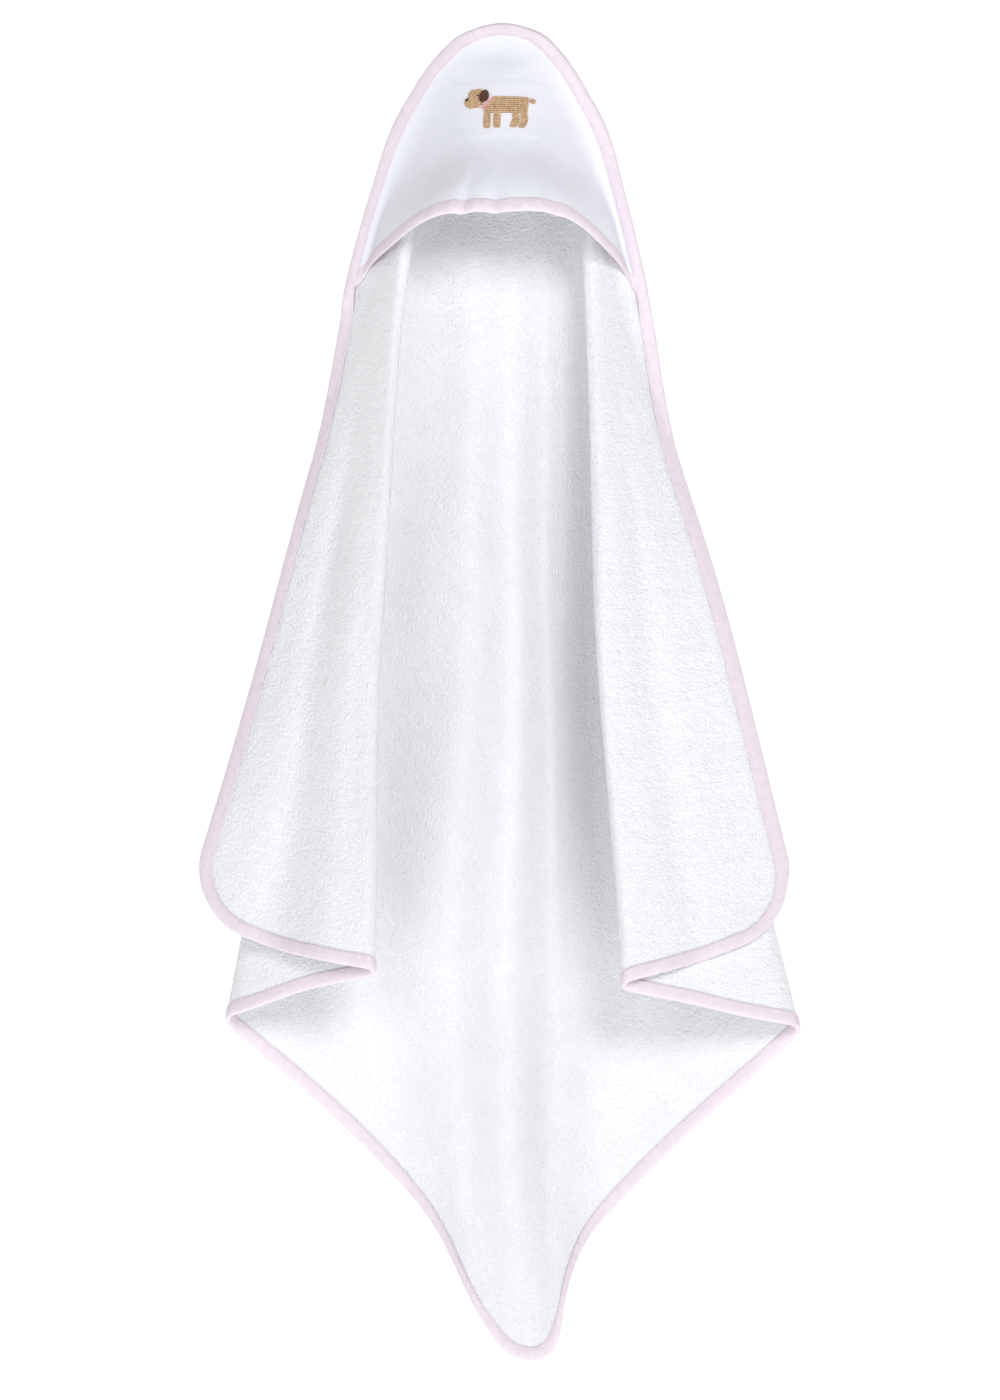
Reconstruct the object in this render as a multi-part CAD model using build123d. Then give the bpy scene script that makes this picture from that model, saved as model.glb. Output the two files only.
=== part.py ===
from build123d import *
import math
import os
import numpy as np

# Hooded baby towel: a square of terry with one corner hooded, hung up by the
# peak of the hood, millimetres.
#
# The origin is the inside of the hood's peak, where a hook holds it.  +Z is up,
# +X is to the viewer's right, the hood opens towards -Y, and the towel's square
# hangs on its diagonal.
#
# Every soft piece is the flat pattern carried on to one draped surface.  A point
# of the flat square is given by r, its distance from the (sharp) hooded corner,
# and by the angle theta from the diagonal.  Lines of one theta are the fall
# lines: they run down from the peak, and the pleats lie along them.

# ---- driving dimensions ------------------------------------------------------
side = 762.0                # flat square, edge to edge
corner_radius = 50.0        # the four rounded corners
hood_leg = 265.0            # hood triangle, along each edge of the square
terry_thickness = 2.8
hood_thickness = 1.0
tape_thickness = 0.5        # one layer of the binding tape
tape_width = 10.0           # finished width of the binding
tape_gap = 0.1              # air between a tape and the cloth that it wraps
hood_gap = 1.4              # half the room between hood and towel in the seam
thread = 0.4                # height of a sewing thread above the tape
thread_width = 0.6
thread_room = 0.12
stitch_inset = 1.4          # stitch row in from the tape's inner edge
bias_stretch = 0.01         # how far the cloth gives along the diagonal
flange = 13.0               # bound seam standing out beside the hood
motif_down = 93.0           # centre of the embroidery, down the hood from its corner
thread_bead = 0.7           # height of the embroidery thread

# ---- the hanging shape: key fall lines at stations down the cloth ----------
# Each station lists, for eleven fall lines from the left edge to the right one,
# the angle and the plan position (x, y).  The order is: left edge, left front
# fold, left back fold, valley, ridge, middle valley, ridge, valley, right back
# fold, right front fold, right edge.
stations = {
    190: [(-45, -90, 38), (-32.5, -66, 4), (-22.5, -66, 50), (-15, -55, 60), (-5.5, -22, 48), (1.5, 9, 61),
          (7, 31, 52), (13, 54, 59), (21.5, 66, 46), (32.6, 62, 8), (45, 84, 24)],
    275: [(-45, -113, 48), (-32.5, -76, -3), (-22.5, -88, 50), (-15, -62, 66), (-5.5, -22, 43), (1.5, 9, 64),
          (7, 33, 45), (13, 57, 64), (21.5, 80, 48), (32.6, 65, 2), (45, 104, 40)],
    520: [(-45, -180, 33), (-32.5, -89, -37), (-22.5, -150, 36), (-13.3, -80, 76), (-5.8, -24, 28), (0, 8, 74),
          (5.4, 35, 28), (10.8, 62, 74), (21.5, 146, 44), (32.6, 71, -26), (45, 171, 28)],
    800: [(-45, -254, 9), (-32.5, -96, -60), (-22.5, -204, 32), (-12.6, -92, 86), (-6.8, -35, 20), (-1, 8, 90),
          (4.3, 40, 22), (8.8, 68, 84), (21.5, 222, 34), (32.6, 88, -42), (45, 243, 28)],
    1000: [(-45, -310, 9), (-32.5, -120, -60), (-22.5, -236, 32), (-7.5, -50, 92), (-3.4, -18, 26), (0.2, 14, 84),
           (3.4, 44, 26), (7, 72, 86), (21.5, 262, 34), (32.6, 100, -42), (45, 295, 28)],
    1090: [(-45, -334, 9), (-32.5, -132, -60), (-22.5, -246, 32), (-6.6, -36, 84), (-2.6, -2, 36), (0.2, 26, 70),
           (2.8, 50, 36), (6.6, 82, 80), (21.5, 274, 34), (32.6, 112, -42), (45, 318, 28)],
}
sharp_folds = (1, 2, 8, 9)  # the flat folds of the two flaps
fold_width = 17.0           # how wide their backs are
key_softness = [0, 0.9, 1.3, 3.0, 2.1, 1.9, 1.8, 1.9, 1.5, 0.9, 0]     # degrees, how round each fold is

# Plan position of the two seams where they leave the hood's round, by r.
seam_left = {0: (0, 0), 50: (-28, 5), 120: (-67, 20), 190: (-90, 38)}
seam_right = {0: (0, 0), 50: (26, 0), 120: (64, 9), 190: (84, 24)}
seam_out_left = (-0.92, 0.39)        # which way the bound seam stands out
seam_out_right = (0.94, -0.34)
back_swell = {0: 0, 25: 0, 60: 12, 120: 34, 190: 42, 275: 30}         # towel behind the seams
hood_swell = {0: 0, 25: 0, 45: 5, 60: 14, 120: 48, 190: 102, 265: 100, 300: 100}  # hood before them
hood_squareness = 3.5        # 2 would be a round mouth, more is flatter in front

# ---- the draped surface -------------------------------------------------------


def smooth(low, high, value):
    t = np.clip((value - low) / (high - low), 0.0, 1.0)
    return t * t * (3 - 2 * t)


def curve(places, values, at):
    """Smooth curve through values at places, evaluated at every at."""
    places = np.asarray(places, float)
    values = np.asarray(values, float)
    values = values.reshape(len(places), -1)
    step = np.diff(places)[:, None]
    rise = np.diff(values, axis=0) / step
    slope = np.empty_like(values)
    slope[1:-1] = (rise[:-1] * step[1:] + rise[1:] * step[:-1]) / (step[1:] + step[:-1])
    slope[0] = rise[0]
    slope[-1] = rise[-1]
    i = np.clip(np.searchsorted(places, at) - 1, 0, len(places) - 2)
    t = ((at - places[i]) / step[i, 0])[:, None]
    h = step[i]
    return (values[i] * (2 * t**3 - 3 * t**2 + 1) + slope[i] * h * (t**3 - 2 * t**2 + t)
            + values[i + 1] * (-2 * t**3 + 3 * t**2) + slope[i + 1] * h * (t**3 - t**2))


def open_folds(keys, r):
    """Give each flat fold a round back: its key becomes two, set apart by its width.
    Returns the keys and how soft the bend is at each inner one, in degrees."""
    places = []
    soft = []
    for n in range(11):
        if n not in sharp_folds:
            places.append(keys[:, n])
            soft.append(np.full(len(r), float(key_softness[n])))
            continue
        here = keys[:, n, 1:]
        before = keys[:, n - 1, 1:] - here
        after = keys[:, n + 1, 1:] - here
        before /= np.linalg.norm(before, axis=1)[:, None]
        after /= np.linalg.norm(after, axis=1)[:, None]
        across = before - after
        across /= np.linalg.norm(across, axis=1)[:, None]
        turn = np.degrees(0.62 * fold_width / np.maximum(r, 60))
        for sign in (1, -1):
            shifted = here + sign * across * fold_width / 2
            places.append(np.column_stack([keys[:, n, 0] - sign * turn, shifted]))
            soft.append(np.degrees(0.45 * fold_width / np.maximum(r, 60)))
    return np.stack(places, axis=1), np.stack(soft[1:-1], axis=1)


def pleated(keys, soft, theta, column):
    """Plan coordinate along theta through the keys, with a rounded bend at each."""
    angle = keys[:, :, 0]
    value = keys[:, :, column]
    slope = np.diff(value, axis=1) / np.diff(angle, axis=1)
    kink = np.diff(slope, axis=1) / 2
    inner = angle[:, 1:-1]

    def bends(at):
        return (kink[:, None, :] * np.hypot(at[:, :, None] - inner[:, None, :], soft[:, None, :])).sum(axis=2)

    first = value[:, :1] - bends(angle[:, :1])
    last = value[:, -1:] - bends(angle[:, -1:])
    share = (theta - angle[:, :1]) / (angle[:, -1:] - angle[:, :1])
    return bends(theta) + first * (1 - share) + last * share


class Drape:
    """The draped surface as a table over theta and r, read by smooth interpolation."""

    def __init__(self, hood):
        self.dr = 5.0
        self.dt = 0.5
        self.r = np.arange(0.0, 1111.0, self.dr)
        self.t = np.arange(-50.0, 50.01, self.dt)
        r = self.r
        theta = np.broadcast_to(self.t, (len(r), len(self.t)))
        lower = sorted(stations)
        seams = []
        for seam, column in ((seam_left, 0), (seam_right, 10)):
            places = sorted(seam) + [s for s in lower if s > 190]
            values = [seam[p] for p in sorted(seam)] + [stations[s][column][1:] for s in lower if s > 190]
            seams.append(curve(places, values, r))
        # how far across the cloth each point lies, once the bound seam is set aside
        arc = r[:, None] * np.radians(45 - np.abs(theta))
        width = (flange * smooth(10, 90, r) * (1 - smooth(240, 400, r)))[:, None] + 1e-6
        ease = 0.8 * width
        whole = r[:, None] * math.radians(45)

        def past_seam(distance):
            return (distance - width + np.hypot(distance - width, ease)) / 2

        inside = past_seam(arc) - past_seam(0 * arc)
        reach = past_seam(whole) - past_seam(0 * whole)
        out = np.clip(width - arc + inside, 0, None)
        sign = np.where(theta < 0, -1.0, 1.0)
        share = np.clip(inside / np.maximum(reach, 1e-9), None, 1.0)
        turn = sign * 45 * (1 - share)
        keys = curve(lower, [np.ravel(stations[s]) for s in lower], np.clip(r, lower[0], None))
        keys = keys.reshape(len(r), 11, 3)
        for column, seam in ((0, seams[0]), (10, seams[1])):
            keys[:, column, 1:] = seam
        side_to_side = np.sin(2 * np.radians(turn))
        swell = np.cos(2 * np.radians(turn))
        middle = (seams[0] + seams[1]) / 2
        half = (seams[1] - seams[0]) / 2
        crown = [middle[:, c, None] + half[:, c, None] * side_to_side for c in (0, 1)]
        flat = (1 - smooth(20, 110, r))[:, None]
        crown[0] = crown[0] * (1 - flat) + (r[:, None] * np.sin(np.radians(turn)) * 0.93) * flat
        if hood:
            front = curve(sorted(hood_swell), [hood_swell[p] for p in sorted(hood_swell)], np.clip(r, 0, 300))
            boxy = smooth(60, 190, r)[:, None]      # held open, the mouth has a broad flat front
            swell = swell + boxy * (1 - np.abs(side_to_side)**hood_squareness - swell)
            even = 0.75 * (1 - smooth(130, 200, r))[:, None] * (1 - flat)     # cloth keeps its width up here
            x = crown[0] + half[:, 0, None] * even * (turn / 45 - side_to_side)
            x = x * (1 + 0.08 * boxy * np.cos(2 * np.radians(turn))**2)
            y = crown[1] - front * swell
        else:
            back = curve(sorted(back_swell), [back_swell[p] for p in sorted(back_swell)], np.clip(r, 0, 275))
            low = smooth(130, 215, r)[:, None]
            keys, soft = open_folds(keys, r)
            x = (1 - low) * crown[0] + low * pleated(keys, soft, turn, 1)
            y = (1 - low) * (crown[1] + back * swell) + low * pleated(keys, soft, turn, 2)
        lean = np.sqrt(np.clip(1 - np.gradient(seams[1][:, 0], self.dr)**2, 0.3, 1))[:, None]
        for direction, which in ((seam_out_left, theta < 0), (seam_out_right, theta >= 0)):
            x = x + np.where(which, out * lean * direction[0], 0)
            y = y + np.where(which, out * direction[1], 0)
        stretch = 1 + bias_stretch * np.cos(2 * np.radians(theta))**2
        fall = np.gradient(x, self.dr, axis=0)**2 + np.gradient(y, self.dr, axis=0)**2
        drop = np.sqrt(np.clip(stretch**2 - fall, 0.05, None))
        z = np.zeros_like(x)
        z[1:] = -np.cumsum((drop[1:] + drop[:-1]) / 2 * self.dr, axis=0)
        top = corner_radius * (math.sqrt(2) - 1)
        z += top
        self.table = np.stack([x, y, z], axis=2)

    def point(self, r, theta):
        """Position of flat point (r, theta), by cubic interpolation of the table."""
        r = np.asarray(r, float) / self.dr
        t = (np.asarray(theta, float) - self.t[0]) / self.dt
        i = np.clip(np.floor(r).astype(int), 1, len(self.r) - 3)
        j = np.clip(np.floor(t).astype(int), 1, len(self.t) - 3)
        u = (r - i)[..., None]
        v = (t - j)[..., None]

        def blend(a, b, c, d, s):
            return b + 0.5 * s * (c - a + s * (2 * a - 5 * b + 4 * c - d + s * (3 * (b - c) + d - a)))

        rows = []
        for n in (-1, 0, 1, 2):
            across = [self.table[i + n, j + m] for m in (-1, 0, 1, 2)]
            rows.append(blend(*across, v))
        return blend(*rows, u)

    def at(self, p, q, lift=0.0):
        """Flat square coordinates (p, q) along its two upper edges, lifted off the
        surface by lift towards the viewer."""
        p = np.asarray(p, float)
        q = np.asarray(q, float)

        def place(a, b):
            return self.point(np.hypot(a, b), np.degrees(np.arctan2(b, a)) - 45)

        e = 1.5
        along = place(p + e, q) - place(p - e, q)
        across = place(p, q + e) - place(p, q - e)
        normal = np.cross(along, across)
        normal /= np.linalg.norm(normal, axis=-1)[..., None]
        return place(p, q) + normal * np.asarray(lift, float)[..., None]


towel = Drape(hood=False)
hood = Drape(hood=True)

# ---- the flat pattern -----------------------------------------------------------
# p runs down the left edge of the hanging square and q down the right one.


def corner_ring(inset, count=9):
    """Rounded outline of the square, inset from its edge, as eight (p, q) runs:
    from the peak down the left edge, round the left corner, and so on."""
    low = inset
    high = side - inset
    r = corner_radius - inset
    runs = []
    corners = [(low + r, low + r, 225), (high - r, low + r, 315), (high - r, high - r, 45), (low + r, high - r, 135)]
    for i, (cp, cq, middle) in enumerate(corners):
        angles = np.radians(np.linspace(middle - 45, middle + 45, count))
        runs.append(np.stack([cp + r * np.cos(angles), cq + r * np.sin(angles)], axis=1))
        end = runs[-1][-1]
        np_, nq, nm = corners[(i + 1) % 4]
        start = np.array([np_ + r * math.cos(math.radians(nm - 45)), nq + r * math.sin(math.radians(nm - 45))])
        share = np.linspace(0, 1, 49)[:, None]
        runs.append(end * (1 - share) + start * share)
    return runs


def flat_reach(phi):
    """Nearest and farthest r inside the rounded square along direction phi."""
    c = math.cos(phi)
    s = math.sin(phi)
    dot = corner_radius * (c + s)
    near = dot - math.sqrt(max(dot * dot - corner_radius**2, 0.0))
    far = side / max(c, s)
    centres = [(side - corner_radius, side - corner_radius)]
    centres.append((side - corner_radius, corner_radius) if c > s else (corner_radius, side - corner_radius))
    for cp, cq in centres:
        p = far * c
        q = far * s
        outside_p = (p - cp) * (1 if cp > side / 2 else -1) > 0
        outside_q = (q - cq) * (1 if cq > side / 2 else -1) > 0
        if outside_p and outside_q:
            dot = cp * c + cq * s
            root = dot * dot - (cp * cp + cq * cq - corner_radius**2)
            far = dot + math.sqrt(max(root, 0.0))
    return near, far


# ---- solids from rails ------------------------------------------------------------


def spline(points):
    return Edge.make_spline([tuple(float(v) for v in p) for p in points])


def ruled(first, second):
    return Face.make_surface_from_curves(first, second)


def tube(runs, closed, caps=()):
    """Solid between rails.  runs lists, for each run along the piece, the rails
    round its section as point arrays; caps are index quads that close each end."""
    faces = []
    for rails in runs:
        edges = [spline(rail) for rail in rails]
        for a, b in zip(edges, edges[1:] + edges[:1]):
            faces.append(ruled(a, b))
    if not closed:
        for rails, end in ((runs[0], 0), (runs[-1], -1)):
            for a, b, c, d in caps:
                corner = [tuple(float(v) for v in rails[i][end]) for i in (a, b, c, d)]
                faces.append(ruled(Edge.make_line(corner[0], corner[1]), Edge.make_line(corner[3], corner[2])))
    solid = Solid(Shell(faces))
    if solid.volume < 0:
        solid = -solid
    return solid


def sheet(drape, lines, front, back):
    """Sheet of cloth over the flat (p, q) lines, between two lifts.  Each lift is a
    number, or a function of (p, q)."""
    rails = []
    for lift, order in ((front, lines), (back, lines[::-1])):
        for line in order:
            p, q = line[:, 0], line[:, 1]
            rails.append(drape.at(p, q, lift(p, q) if callable(lift) else lift))
    n = len(lines)
    caps = [(i, i + 1, 2 * n - 2 - i, 2 * n - 1 - i) for i in range(n - 1)]
    return tube([rails], False, caps)


def save(name, shape):
    export_step(shape, os.path.join("parts", name + ".step"))


def fall_lines(angles, far_of, shares):
    lines = []
    for a in angles:
        phi = math.radians(min(max(a, 1e-4), 90 - 1e-4))
        near, far = flat_reach(phi)
        far = far_of(phi, far)
        share = shares(near, far)
        r = near + (far - near) * share
        lines.append(np.stack([r * math.cos(phi), r * math.sin(phi)], axis=1))
    return lines


def both_sides(steps):
    return steps + [45.0] + [90 - a for a in reversed(steps)]


os.makedirs("parts", exist_ok=True)

# ---- towel body ----------------------------------------------------------------------
# Fall lines stand closer together at the folds and at the rounded corners.
steps = [0, 0.4, 1.0, 1.8, 2.8, 3.9, 5.4, 7.2, 9.2]
steps += list(np.arange(10.6, 14.8, 0.7)) + list(np.arange(16.0, 20.2, 1.4))
steps += list(np.arange(20.8, 24.6, 0.9)) + list(np.arange(26.0, 44.0, 1.6))


def towel_shares(near, far):
    """Even stations down a fall line."""
    return np.linspace(0, 1, 36)


def whole_length(phi, far):
    return far


body_lines = fall_lines(both_sides(steps), whole_length, towel_shares)
terry_front = -hood_gap
terry_back = -hood_gap - terry_thickness
save("terry_body", sheet(towel, body_lines, terry_front, terry_back))

# ---- hood panel ------------------------------------------------------------------------
# One cloth, smooth outside and looped inside, laid on the towel's corner.
hood_steps = [0, 0.5, 1.1, 1.7, 2.3, 2.9, 3.5, 4.2, 5.0, 6.0, 7.2, 8.6] + list(np.arange(10.2, 44.6, 1.6))
hood_front = hood_gap + hood_thickness


def to_hem(phi, far):
    return hood_leg / (math.cos(phi) + math.sin(phi))


hood_lines = fall_lines(both_sides(hood_steps), to_hem, lambda near, far: np.linspace(0, 1, 26))
save("hood_panel", sheet(hood, hood_lines, hood_front, hood_gap))

# ---- perimeter binding -----------------------------------------------------------------
# One folded tape round the whole edge; at the peak it wraps hood and towel together.
seam_room = 0.45            # room above the cloth where the tape passes over it


def front_of_edge(p, q, lift):
    """Point at a lift above the front cloth of the edge: the hood beside the peak,
    the terry everywhere else."""
    on_hood = 1 - smooth(hood_leg + 2, hood_leg + 34, p + q)
    over_hood = hood.at(p, q, hood_front + seam_room + lift)
    over_terry = towel.at(p, q, terry_front + seam_room + lift)
    return over_terry + (over_hood - over_terry) * on_hood[:, None]


def back_of_edge(p, q, lift):
    return towel.at(p, q, terry_back - seam_room - lift)


def edge_runs(section):
    """Rails round the whole edge; section lists (inset, face, lift)."""
    rings = {inset: corner_ring(inset) for inset, _, _ in section}
    runs = []
    for n in range(8):
        rails = []
        for inset, face, lift in section:
            p, q = rings[inset][n][:, 0], rings[inset][n][:, 1]
            if face == "front":
                rails.append(front_of_edge(p, q, lift))
            elif face == "back":
                rails.append(back_of_edge(p, q, lift))
            else:
                rails.append((front_of_edge(p, q, 0) + back_of_edge(p, q, 0)) / 2)
        runs.append(rails)
    return runs


leg = tape_width - tape_gap - tape_thickness
edge_section = [
    (leg, "front", tape_thickness),
    (0.4, "front", tape_thickness),
    (-tape_gap - tape_thickness - 0.5, "middle", 0),
    (0.4, "back", tape_thickness),
    (leg, "back", tape_thickness),
    (leg, "back", 0),
    (0.3, "back", 0),
    (-tape_gap - 0.3, "middle", 0),
    (0.3, "front", 0),
    (leg, "front", 0),
]
save("edge_binding", tube(edge_runs(edge_section), True))


def thread_section(face):
    low = tape_thickness + thread_room
    high = low + thread
    at = leg - stitch_inset
    half = thread_width / 2
    return [(at - half, face, low), (at + half, face, low), (at + half, face, high), (at - half, face, high)]


save("edge_stitch_needle_thread", tube(edge_runs(thread_section("front")), True))
save("edge_stitch_bobbin_thread", tube(edge_runs(thread_section("back")), True))

# ---- hood hem binding ------------------------------------------------------------------
# The same tape over the hood's front hem, from one bound seam to the other.
hem_end = leg + 0.4


def hem_run(section):
    rails = []
    for inset, lift in section:
        run = hood_leg - inset
        share = np.linspace(0, 1, 61)
        p = hem_end + (run - 2 * hem_end) * share
        rails.append(hood.at(p, run - p, lift))
    return rails


hem_room = 0.2
outer = hood_front + hem_room
inner = hood_gap - hem_room
hem_leg = math.sqrt(2) * leg
hem_section = [
    (hem_leg, outer + tape_thickness),
    (0.3, outer + tape_thickness),
    (-0.9, (outer + inner) / 2),
    (0.3, inner - tape_thickness),
    (hem_leg, inner - tape_thickness),
    (hem_leg, inner),
    (0.3, inner),
    (-0.4, (outer + inner) / 2),
    (0.3, outer),
    (hem_leg, outer),
]
hem_caps = [(0, 1, 8, 9), (1, 2, 7, 8), (2, 3, 6, 7), (3, 4, 5, 6)]
save("hood_hem_binding", tube([hem_run(hem_section)], False, hem_caps))


def hem_thread(low):
    at = math.sqrt(2) * (leg - stitch_inset)
    half = math.sqrt(2) * thread_width / 2
    section = [(at - half, low), (at + half, low), (at + half, low + thread), (at - half, low + thread)]
    return tube([hem_run(section)], False, [(0, 1, 2, 3)])


save("hood_hem_needle_thread", hem_thread(outer + tape_thickness + thread_room))
save("hood_hem_bobbin_thread", hem_thread(inner - tape_thickness - thread_room - thread))

# ---- embroidered puppy -------------------------------------------------------------------
# Rows of thread laid side by side on the hood.  Coordinates are millimetres from
# the motif's centre, x to the right and y up.


def motif_to_flat(x, y):
    down = motif_down - y
    return (down - x) / math.sqrt(2), (down + x) / math.sqrt(2)


def row(points, width, height=thread_bead, low=hood_front + 0.15):
    """One raised row of thread along points."""
    path = np.asarray(points, float)
    length = np.concatenate([[0], np.cumsum(np.hypot(*np.diff(path, axis=0).T))])
    count = max(4, int(length[-1] / 2.5) + 2)
    s = np.linspace(0, length[-1], count)
    path = np.stack([np.interp(s, length, path[:, 0]), np.interp(s, length, path[:, 1])], axis=1)
    along = np.gradient(path, axis=0)
    along /= np.hypot(along[:, 0], along[:, 1])[:, None]
    across = np.stack([-along[:, 1], along[:, 0]], axis=1)
    rails = []
    for offset, lift in ((-0.5, 0), (0.5, 0), (0.44, 0.55), (0.2, 1), (-0.2, 1), (-0.44, 0.55)):
        place = path + across * offset * width
        p, q = motif_to_flat(place[:, 0], place[:, 1])
        rails.append(hood.at(p, q, low + lift * height))
    return tube([rails], False, [(0, 1, 2, 5), (5, 2, 3, 4)])


row_pitch = 1.7
row_width = 1.55
second_layer = hood_front + 0.15 + thread_bead + 0.1

back_rows = [(-5.0, 19.5), (-6.4, 19.9), (-8.0, 20.0), (-9.3, 20.0), (-10.4, 19.8), (-11.0, 19.8), (-11.2, 19.8),
             (-11.2, 19.6)]
head_rows = [(-20.5, -13.0), (-22.0, -10.0), (-22.3, -8.6), (-23.0, -8.4), (-25.0, -8.4), (-25.5, -9.2),
             (-25.2, -10.8), (-24.2, -12.4), (-22.5, -14.4)]
body = []
for n, (x0, x1) in enumerate(back_rows):
    y = 9.4 - n * row_pitch
    body.append(row([(x0, y), ((x0 + x1) / 2, y - 0.5), (x1, y)], row_width))
for n, (x0, x1) in enumerate(head_rows):
    y = 16.6 - n * row_pitch
    body.append(row([(x0, y), ((x0 + x1) / 2, y + 0.3), (x1, y)], row_width))
for x in (-9.5, -2.0):
    for n in (-1, 0, 1):
        body.append(row([(x + n * row_pitch, -3.7), (x + n * row_pitch - 0.3, -15.6)], row_width))
for x in (11.2, 17.4):
    for n in (-1, 0, 1):
        at = x + n * row_pitch
        body.append(row([(at, -3.7), (at + 0.9, -9.0), (at - 1.6, -16.0)], row_width))
body.append(row([(20.9, 8.9), (23.2, 8.8), (25.2, 7.9)], row_width))
body.append(row([(20.9, 7.1), (22.6, 6.7), (24.6, 6.1)], row_width))
save("puppy_body_embroidery", Compound(children=body))

ear = []
for x, y0, y1 in ((-13.4, 13.9, 7.2), (-11.8, 15.2, 5.6), (-10.2, 15.4, 5.8), (-8.6, 14.4, 7.4)):
    ear.append(row([(x, y0), (x - 0.4, y1)], 1.5, 0.8, second_layer))
save("puppy_ear_embroidery", Compound(children=ear))

collar = [row([(-4.9, 8.9), (-8.4, 3.4), (-11.6, -0.2)], 1.5, 0.7, second_layer),
          row([(-10.4, 3.4), (-13.0, 1.2)], 1.5, 0.7, second_layer)]
save("puppy_collar_embroidery", Compound(children=collar))
save("puppy_nose_embroidery", row([(-24.5, 9.0), (-22.4, 10.6)], 1.7, 0.8, second_layer))
save("puppy_eye_embroidery", row([(-16.3, 12.4), (-14.7, 11.8)], 1.0, 0.6, second_layer))

# ---- patches on the hidden faces ---------------------------------------------------------


def patch_lines(centre, along, width, length, count=12):
    """(p, q) lines of a rectangle: width along the unit direction, length across it."""
    along = np.asarray(along, float)
    across = np.array([-along[1], along[0]])
    lines = []
    for u in np.linspace(-width / 2, width / 2, count):
        v = np.linspace(-length / 2, length / 2, count)[:, None]
        lines.append(np.asarray(centre) + along * u + across * v)
    return lines


# stabiliser behind the embroidery, inside the hood
middle_flat = motif_down / math.sqrt(2)
backing = patch_lines((middle_flat, middle_flat), (-math.sqrt(0.5), math.sqrt(0.5)), 64, 46)
backing_front = hood_gap - 0.2
save("embroidery_backing", sheet(hood, backing, backing_front, backing_front - 0.35))

# blank care label on the back, its end caught in the lower left edge
label_width = 34.0
label_length = 26.0
label_at = (side - leg - 0.4 - label_length / 2, 545.0)
label = patch_lines(label_at, (0.0, 1.0), label_width, label_length)
label_lift = terry_back - 0.15
save("care_label", sheet(towel, label, label_lift, label_lift - 0.3))
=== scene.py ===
import bpy
import math
import numpy as np
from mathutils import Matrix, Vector


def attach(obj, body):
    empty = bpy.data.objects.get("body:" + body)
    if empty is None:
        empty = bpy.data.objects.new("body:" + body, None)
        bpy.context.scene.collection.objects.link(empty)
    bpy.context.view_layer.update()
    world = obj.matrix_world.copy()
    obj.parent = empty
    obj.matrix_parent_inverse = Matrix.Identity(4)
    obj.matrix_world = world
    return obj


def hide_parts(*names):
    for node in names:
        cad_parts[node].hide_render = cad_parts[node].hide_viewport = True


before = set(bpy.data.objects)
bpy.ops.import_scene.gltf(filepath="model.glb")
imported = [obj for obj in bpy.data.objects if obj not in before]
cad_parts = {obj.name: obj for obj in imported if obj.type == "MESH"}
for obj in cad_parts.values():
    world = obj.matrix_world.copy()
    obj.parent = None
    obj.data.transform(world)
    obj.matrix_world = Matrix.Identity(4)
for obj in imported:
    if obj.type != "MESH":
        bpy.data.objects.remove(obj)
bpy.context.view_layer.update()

# Hooded baby towel, hanging by the peak of its hood.  The cloth is worked out in
# millimetres on its flat square (p down the left edge, q down the right edge from
# the hooded corner) and carried on to the hanging surface, as in the CAD.

side = 762.0
corner_radius = 50.0
hood_leg = 265.0
terry_thickness = 2.8
hood_thickness = 1.0
tape_width = 10.0
hood_gap = 1.4
flange = 13.0
bias_stretch = 0.01
motif_down = 93.0

stations = {
    190: [(-45, -90, 38), (-32.5, -66, 4), (-22.5, -66, 50), (-15, -55, 60), (-5.5, -22, 48), (1.5, 9,
          61),
          (7, 31, 52), (13, 54, 59), (21.5, 66, 46), (32.6, 62, 8), (45, 84, 24)],
    275: [(-45, -113, 48), (-32.5, -76, -3), (-22.5, -88, 50), (-15, -62, 66), (-5.5, -22, 43), (1.5, 9,
          64),
          (7, 33, 45), (13, 57, 64), (21.5, 80, 48), (32.6, 65, 2), (45, 104, 40)],
    520: [(-45, -180, 33), (-32.5, -89, -37), (-22.5, -150, 36), (-13.3, -80, 76), (-5.8, -24, 28), (0,
          8, 74),
          (5.4, 35, 28), (10.8, 62, 74), (21.5, 146, 44), (32.6, 71, -26), (45, 171, 28)],
    800: [(-45, -254, 9), (-32.5, -96, -60), (-22.5, -204, 32), (-12.6, -92, 86), (-6.8, -35, 20), (-1,
          8, 90),
          (4.3, 40, 22), (8.8, 68, 84), (21.5, 222, 34), (32.6, 88, -42), (45, 243, 28)],
    1000: [(-45, -310, 9), (-32.5, -120, -60), (-22.5, -236, 32), (-7.5, -50, 92), (-3.4, -18, 26),
           (0.2, 14, 84),
           (3.4, 44, 26), (7, 72, 86), (21.5, 262, 34), (32.6, 100, -42), (45, 295, 28)],
    1090: [(-45, -334, 9), (-32.5, -132, -60), (-22.5, -246, 32), (-6.6, -36, 84), (-2.6, -2, 36), (0.2,
           26, 70),
           (2.8, 50, 36), (6.6, 82, 80), (21.5, 274, 34), (32.6, 112, -42), (45, 318, 28)],
}
sharp_folds = (1, 2, 8, 9)
fold_width = 17.0
key_softness = [0, 0.9, 1.3, 3.0, 2.1, 1.9, 1.8, 1.9, 1.5, 0.9, 0]
seam_left = {0: (0, 0), 50: (-28, 5), 120: (-67, 20), 190: (-90, 38)}
seam_right = {0: (0, 0), 50: (26, 0), 120: (64, 9), 190: (84, 24)}
seam_out_left = (-0.92, 0.39)
seam_out_right = (0.94, -0.34)
back_swell = {0: 0, 25: 0, 60: 12, 120: 34, 190: 42, 275: 30}
hood_swell = {0: 0, 25: 0, 45: 5, 60: 14, 120: 48, 190: 102, 265: 100, 300: 100}
hood_squareness = 3.5        # 2 would be a round mouth, more is flatter in front


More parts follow.
